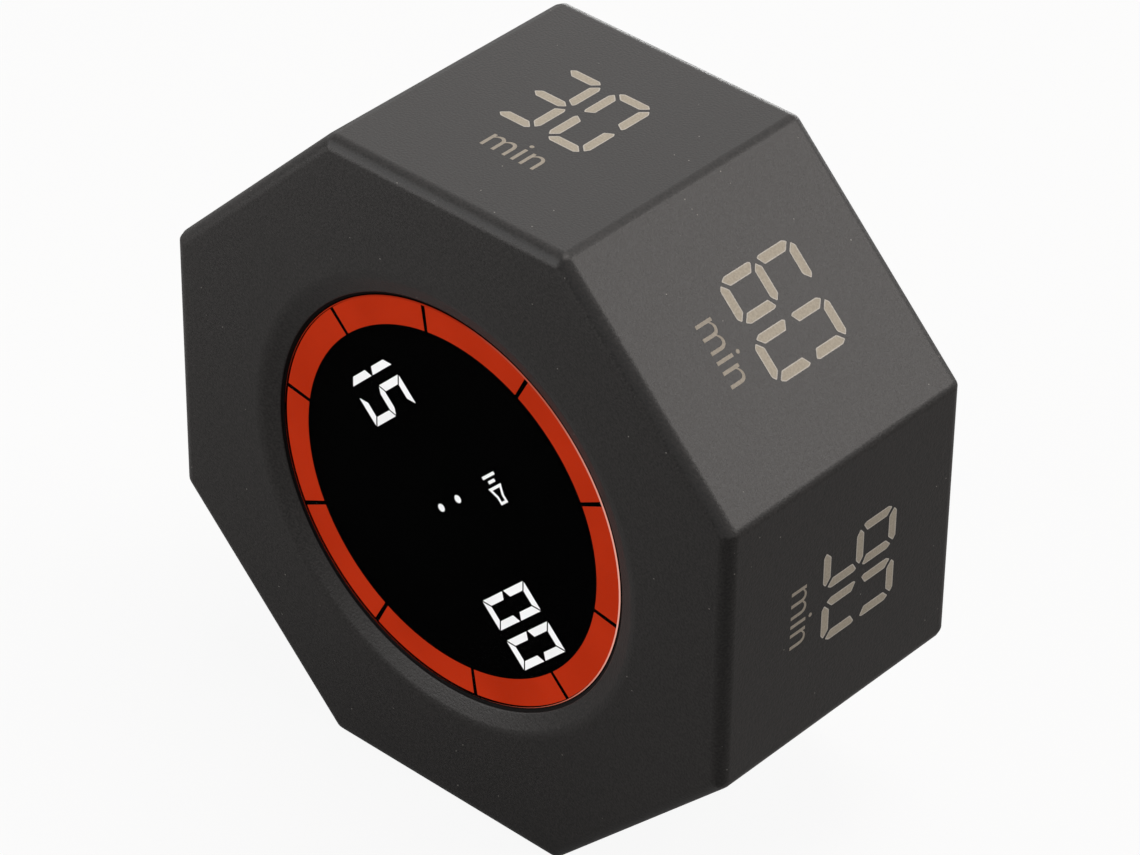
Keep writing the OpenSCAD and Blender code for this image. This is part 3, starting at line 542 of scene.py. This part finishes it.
def noise(tree, scale, detail=2.0, stretch=(1, 1, 1)):
    place = tree.nodes.new("ShaderNodeTexCoord")
    mapping = tree.nodes.new("ShaderNodeMapping")
    mapping.inputs["Scale"].default_value = stretch
    texture = tree.nodes.new("ShaderNodeTexNoise")
    texture.inputs["Scale"].default_value = scale
    texture.inputs["Detail"].default_value = detail
    tree.links.new(place.outputs["Object"], mapping.inputs["Vector"])
    tree.links.new(mapping.outputs["Vector"], texture.inputs["Vector"])
    return texture.outputs["Fac"]


def ranged(tree, value, start, end, lowest=0.0, highest=1.0):
    """Turns the values from start to end into those from lowest to highest."""
    span = tree.nodes.new("ShaderNodeMapRange")
    for socket, number in (("From Min", start), ("From Max", end), ("To Min", lowest), ("To Max", highest)):
        span.inputs[socket].default_value = number
    tree.links.new(value, span.inputs["Value"])
    return span.outputs["Result"]


def shades(tree, value, stops, socket):
    ramp = tree.nodes.new("ShaderNodeValToRGB")
    while len(ramp.color_ramp.elements) < len(stops):
        ramp.color_ramp.elements.new(0.5)
    for element, (position, colour) in zip(ramp.color_ramp.elements, stops):
        element.position = position
        element.color = colour
    tree.links.new(value, ramp.inputs["Fac"])
    tree.links.new(ramp.outputs["Color"], socket)


print("nodes ready")

# %% [markdown]
# Most finishes are two close shades, a roughness that varies and a fine relief, all from one noise, so that a
# high grain is also a pale and a rough one. Dust is made of cells: a speck shows where the surface cuts the
# middle of one, which happens seldom and at random.

# %% finishes: grain and dust


def two_shades(tree, value, dark, light, socket):
    shades(tree, value, [(NOISE_LOW, dark), (NOISE_HIGH, light)], socket)


def spread(tree, value, lowest, highest, socket):
    tree.links.new(ranged(tree, value, NOISE_LOW, NOISE_HIGH, lowest, highest), socket)


def relief(tree, value, height, shader):
    bump = tree.nodes.new("ShaderNodeBump")
    bump.inputs["Distance"].default_value = height
    tree.links.new(value, bump.inputs["Height"])
    tree.links.new(bump.outputs["Normal"], shader.inputs["Normal"])


def textured(tree, shader, value, dark, light, roughness, height):
    two_shades(tree, value, dark, light, shader.inputs["Base Color"])
    spread(tree, value, *roughness, shader.inputs["Roughness"])
    relief(tree, value, height, shader)


def grained(name, dark, light, scale, roughness, height, gloss):
    tree, shader = new_finish(name, specular_ior_level=gloss)
    textured(tree, shader, noise(tree, scale), dark, light, roughness, height)


def dusted(finish, cell, speck, pale):
    """Sparse pale specks of dust."""
    tree = finish.node_tree
    base = tree.nodes["Principled BSDF"].inputs["Base Color"]
    clean = base.links[0].from_socket
    place = tree.nodes.new("ShaderNodeTexCoord")
    cells = tree.nodes.new("ShaderNodeTexVoronoi")
    cells.inputs["Scale"].default_value = 1 / cell
    tree.links.new(place.outputs["Object"], cells.inputs["Vector"])
    mix = tree.nodes.new("ShaderNodeMix")
    mix.data_type = "RGBA"
    mix.inputs["B"].default_value = pale
    tree.links.new(ranged(tree, cells.outputs["Distance"], speck / cell, speck / cell / 2), mix.inputs["Factor"])
    tree.links.new(clean, mix.inputs["A"])
    tree.links.new(mix.outputs["Result"], base)


print("grain and dust ready")

# %% [markdown]
# The housing is charcoal plastic with a fine spark-eroded grain, the same on the cover, and a little dust lies on
# both. The knob and the button are the same plastic, a little lighter. The ink of the marks is beige, thinner and
# greyer on the small word. The display's ground and its unlit strokes are black without gloss, so that only the lit
# ones show through the lens.

# %% finishes: plastics, ink, foam and ceramics
GRAINED = {
    # darker and lighter shade, scale of the grain, roughness, relief in mm, gloss
    "body_plastic": ((27, 26, 25), (49, 47, 46), 4500, (0.35, 0.45), 0.025, 0.3),
    "control_plastic": ((50, 49, 49), (66, 65, 64), 4500, (0.35, 0.45), 0.015, 0.3),
    "mark_beige": ((180, 171, 154), (200, 192, 176), 5000, (0.6, 0.8), 0.004, 0.2),
    # painted highlight: the paler rim along the strokes' edges
    "mark_rim_painted_highlight": ((204, 199, 190), (222, 217, 208), 5000, (0.6, 0.8), 0.004, 0.2),
    "word_beige": ((166, 158, 145), (186, 178, 165), 5000, (0.6, 0.8), 0.004, 0.2),
    "display_black": ((3, 3, 3), (6, 6, 6), 3000, (0.6, 0.8), 0.002, 0.0),
    # painted shade: black for the step and ledge, where the recess around the lens lies in shade
    "ledge_black_painted_shade": ((20, 20, 20), (27, 27, 27), 3000, (0.6, 0.8), 0.004, 0.1),
    "light_dark": ((3, 3, 3), (7, 7, 7), 2500, (0.6, 0.8), 0.002, 0.0),
    "gasket_foam": ((40, 40, 42), (62, 62, 64), 2500, (0.85, 0.95), 0.05, 0.5),
    "chip_black": ((22, 22, 23), (34, 34, 35), 4000, (0.5, 0.65), 0.004, 0.5),
    "connector_cream": ((222, 217, 203), (236, 232, 220), 2500, (0.4, 0.5), 0.003, 0.5),
    "ceramic_tan": ((170, 152, 120), (198, 180, 150), 3000, (0.35, 0.5), 0.004, 0.5),
    "tape_cream": ((208, 203, 186), (224, 220, 206), 1800, (0.6, 0.75), 0.01, 0.5),
    "lead_red": ((150, 30, 24), (176, 44, 34), 1500, (0.4, 0.5), 0.004, 0.5),
    "led_resin": ((226, 218, 186), (240, 234, 210), 3000, (0.25, 0.35), 0.002, 0.5),
}
DUST_CELL, DUST_SPECK = 1.7 * MM, 0.08 * MM

for name, (dark, light, scale, roughness, height, gloss) in GRAINED.items():
    grained(name, linear(*dark), linear(*light), scale, roughness, height * MM, gloss)
dusted(finishes["body_plastic"], DUST_CELL, DUST_SPECK, linear(150, 147, 142))
print(len(finishes), "finishes")

# %% [markdown]
# Metals are bright base colours with full metallic. Turned and drawn parts have fine lines, which come from
# noise stretched along one axis. The boards are green with paler tracks: the tracks lie where a coarse noise
# passes through its middle.

# %% finishes: metals and board
METALS = {
    # darker and lighter shade, scale of the lines, stretch, roughness
    "screw_steel": ((128, 130, 133), (146, 148, 151), 2500, (1, 0.3, 1), (0.32, 0.4)),
    "shell_steel": ((176, 178, 181), (206, 208, 210), 1500, (1, 0.08, 1), (0.2, 0.32)),
    "pin_gold": ((190, 152, 62), (216, 180, 92), 2000, (1, 0.2, 1), (0.2, 0.3)),
    "cell_foil": ((168, 171, 175), (196, 199, 202), 700, (1, 1, 0.3), (0.3, 0.45)),
}
METAL_RELIEF, TRACK_RELIEF = 0.002 * MM, 0.01 * MM
MASK, TRACK = linear(24, 78, 48), linear(38, 104, 66)

for name, (dark, light, scale, stretch, roughness) in METALS.items():
    tree, shader = new_finish(name, metallic=1.0)
    lines = noise(tree, scale, stretch=stretch)
    textured(tree, shader, lines, linear(*dark), linear(*light), roughness, METAL_RELIEF)

tree, shader = new_finish("board_green", roughness=0.35)
tracks = noise(tree, 320, 0.0)
shades(tree, tracks, [(0.46, MASK), (0.48, TRACK), (0.53, TRACK), (0.55, MASK)], shader.inputs["Base Color"])
relief(tree, tracks, TRACK_RELIEF, shader)
print(len(finishes), "finishes")

# %% [markdown]
# The lit strokes glow by themselves: their shader has an Emission colour, so they keep their brightness in
# any light. A slow noise makes them a little uneven, as a light behind a diffuser is. The lens is almost
# wholly transparent, with a faint gloss.

# %% finishes: lights and lens
LIGHTS = {
    # dimmer and brighter shade, scale of the unevenness
    "light_orange": ((170, 42, 14), (182, 47, 18), 120),
    "light_white": ((246, 246, 246), (255, 255, 255), 300),
}


def glowing(name):
    """A finish that shines: gives its node tree and the socket of its light's colour."""
    tree, shader = new_finish(
        name, base_color=linear(8, 8, 8), roughness=0.6, specular_ior_level=0.0, emission_strength=1.0)
    return tree, shader.inputs["Emission Color"]


for name, (dimmer, brighter, scale) in LIGHTS.items():
    tree, light = glowing(name)
    two_shades(tree, noise(tree, scale), linear(*dimmer), linear(*brighter), light)
tree, shader = new_finish(
    "lens_clear", base_color=linear(4, 4, 4), alpha=0.03, ior=1.49, specular_ior_level=0.1)
spread(tree, noise(tree, 400), 0.04, 0.08, shader.inputs["Roughness"])
print(len(finishes), "finishes")

# %% [markdown]
# The lens's ground edge glows too: a painted glow for the ring's light that leaves the disc there. Most of the
# way round it is as orange as the ring. Towards one side it turns pale, a painted highlight, so its colour follows
# how far a point lies towards that side.

# %% finishes: edge of the lens
HIGHLIGHT_SIDE = math.radians(2)
HIGHLIGHT_FROM = 0.1 * LENS_R

tree, light = glowing("lens_edge_painted_glow")
highlight_way = Vector((math.cos(HIGHLIGHT_SIDE), 0, math.sin(HIGHLIGHT_SIDE)))
towards = tree.nodes.new("ShaderNodeVectorMath")
towards.operation = "DOT_PRODUCT"
towards.inputs[1].default_value = highlight_way
tree.links.new(tree.nodes.new("ShaderNodeTexCoord").outputs["Object"], towards.inputs[0])
centre = highlight_way.dot(MIDDLE)
# painted highlight: the edge's colour turns pale towards one side
pale = ranged(tree, towards.outputs["Value"], centre + HIGHLIGHT_FROM, centre + LENS_R)
shades(tree, pale, [(0.0, linear(150, 38, 16)), (0.6, linear(176, 92, 74)), (1.0, linear(230, 165, 149))], light)
print("lens edge pale towards", [round(x, 2) for x in highlight_way])

# %% [markdown]
# ## Dressing
# A solid that still shows takes the finish that the record names for it. A new piece takes its own, and those with
# several material slots get the rest in the order of their numbers.

# %% dress every piece
for part in frame["record"]["subparts"]:
    solid = nodes[part["node"]]
    solid.material_slots[0].material = finishes[part["material_slot"]]
for piece, finish in pieces.values():
    piece.data.materials.append(finishes[finish])
for mark in marks:
    # the marks' second slot is the painted highlight on the strokes' rims
    mark.data.materials.append(finishes["mark_rim_painted_highlight"])
    mark.data.materials.append(finishes["word_beige"])
# the housing's second slot is the painted shade on the window's step and ledge
housing.data.materials.append(finishes["ledge_black_painted_shade"])
# the lens's second slot is the painted glow and highlight on its chamfer
lens.data.materials.append(finishes["lens_edge_painted_glow"])
lens.data.materials.append(finishes["display_black"])
print("dressed", len(nodes), "solids and", len(pieces), "new pieces")

# %% [markdown]
# ## Studio
# The photograph has a plain white ground and soft light from above, so the top and the upper right side are
# bright and the front is dark. The floor is nearly white to the camera, with a little of its own shading left for
# the shadow. To mirrors and glass it shows some of that white, and to every other ray it is a plain paper, so that
# it doesn't flood the front with light.

# %% studio: white for the camera and for mirrors


def white_share(tree, camera_share, mirror_share):
    """How much plain white a ray sees: a share for the camera, one for mirrors and glass, none for the rest."""
    rays = tree.nodes.new("ShaderNodeLightPath")

    def combine(operation, first, second):
        node = tree.nodes.new("ShaderNodeMath")
        node.operation = operation
        tree.links.new(first, node.inputs[0])
        if isinstance(second, float):
            node.inputs[1].default_value = second
        else:
            tree.links.new(second, node.inputs[1])
        return node.outputs[0]

    mirrors = combine("MAXIMUM", rays.outputs["Is Glossy Ray"], rays.outputs["Is Transmission Ray"])
    return combine("MAXIMUM", combine("MULTIPLY", rays.outputs["Is Camera Ray"], camera_share),
                   combine("MULTIPLY", mirrors, mirror_share))


def mix_in_white(tree, share, plain, white, output):
    mixed = tree.nodes.new("ShaderNodeMixShader")
    tree.links.new(share, mixed.inputs["Fac"])
    tree.links.new(plain, mixed.inputs[1])
    tree.links.new(white, mixed.inputs[2])
    tree.links.new(mixed.outputs["Shader"], tree.nodes[output].inputs["Surface"])


print("white for the camera ready")

# %% studio: floor
FLOOR_HALF = 3.0
PAPER_FOR_LIGHT, PAPER_FOR_CAMERA, PAPER_ROUGHNESS = 0.35, 0.8, 0.9
FLOOR_WHITE, FLOOR_MIRRORED = 0.92, 0.13

bm = bmesh.new()
bmesh.ops.create_grid(bm, x_segments=1, y_segments=1, size=FLOOR_HALF)
floor = new_object(bm, "floor")
paper = bpy.data.materials.new("paper")
paper.use_nodes = True
tree = paper.node_tree
matte = tree.nodes["Principled BSDF"]
seen = tree.nodes.new("ShaderNodeLightPath").outputs["Is Camera Ray"]
tree.links.new(ranged(tree, seen, 0.0, 1.0, PAPER_FOR_LIGHT, PAPER_FOR_CAMERA), matte.inputs["Base Color"])
matte.inputs["Roughness"].default_value = PAPER_ROUGHNESS
matte.inputs["Specular IOR Level"].default_value = 0.0
white = tree.nodes.new("ShaderNodeEmission")
white.inputs["Strength"].default_value = 1.0
mix_in_white(tree, white_share(tree, FLOOR_WHITE, FLOOR_MIRRORED), matte.outputs["BSDF"], white.outputs["Emission"],
             "Material Output")
floor.data.materials.append(paper)
print("floor", FLOOR_HALF * 2, "m wide")

# %% studio: world
world = bpy.data.worlds.new("studio")
bpy.context.scene.world = world
world.use_nodes = True
tree = world.node_tree
dark = tree.nodes["Background"]
dark.inputs["Color"].default_value = (1, 1, 1, 1)
dark.inputs["Strength"].default_value = 0.0
bright = tree.nodes.new("ShaderNodeBackground")
bright.inputs["Color"].default_value = (1, 1, 1, 1)
mix_in_white(tree, white_share(tree, 1.0, 1.0), dark.outputs["Background"], bright.outputs["Background"],
             "World Output")
print("world white to the camera, dark to the rest")

# %% [markdown]
# The lamps are given by the light that they bring to the timer: a lamp of strength 1 shows a white sheet that
# faces it as white. The power that this takes grows with the square of the distance. Large ones overhead and
# behind light the top and the sides, a low one behind draws a line along the far edges, one in front keeps the
# front readable, and a low strip in front brings out the lower half of the window's bevel. None of them shows
# itself to the camera.

# %% studio: lamps
WARM, PLAIN = (1, 0.95, 0.92), (1, 1, 1)


def softbox(name, direction, distance, width, height, strength, colour):
    lamp = bpy.data.lights.new(name, "AREA")
    lamp.shape = "RECTANGLE"
    lamp.color = colour
    lamp.size, lamp.size_y = width, height
    lamp.energy = strength * math.pi ** 2 * distance ** 2
    holder = bpy.data.objects.new(name, lamp)
    bpy.context.scene.collection.objects.link(holder)
    holder.visible_camera = False
    way = Vector(direction).normalized()
    turned = way.to_track_quat("Z", "Y").to_matrix().to_4x4()
    holder.matrix_world = Matrix.Translation(MIDDLE + way * distance) @ turned
    print(name, "at", [round(x, 2) for x in holder.matrix_world.translation], round(lamp.energy, 2), "W")


softbox("overhead", (0.1, 0.15, 1), 0.9, 0.5, 0.5, 0.5, WARM)
softbox("behind left", (-0.537, 0.598, 0.595), 0.9, 0.5, 0.5, 0.085, WARM)
softbox("behind right", (0.595, 0.598, 0.537), 0.9, 0.5, 0.5, 0.47, WARM)
softbox("behind", (-0.4, 0.92, 0.03), 0.6, 0.4, 0.1, 0.3, PLAIN)
softbox("in front", (-0.537, -0.775, 0.34), 0.22, 0.14, 0.2, 0.34, PLAIN)
softbox("low in front", (-0.537, -0.84, -0.01), 0.25, 0.2, 0.05, 0.14, WARM)
bpy.context.scene.view_settings.view_transform = "Standard"
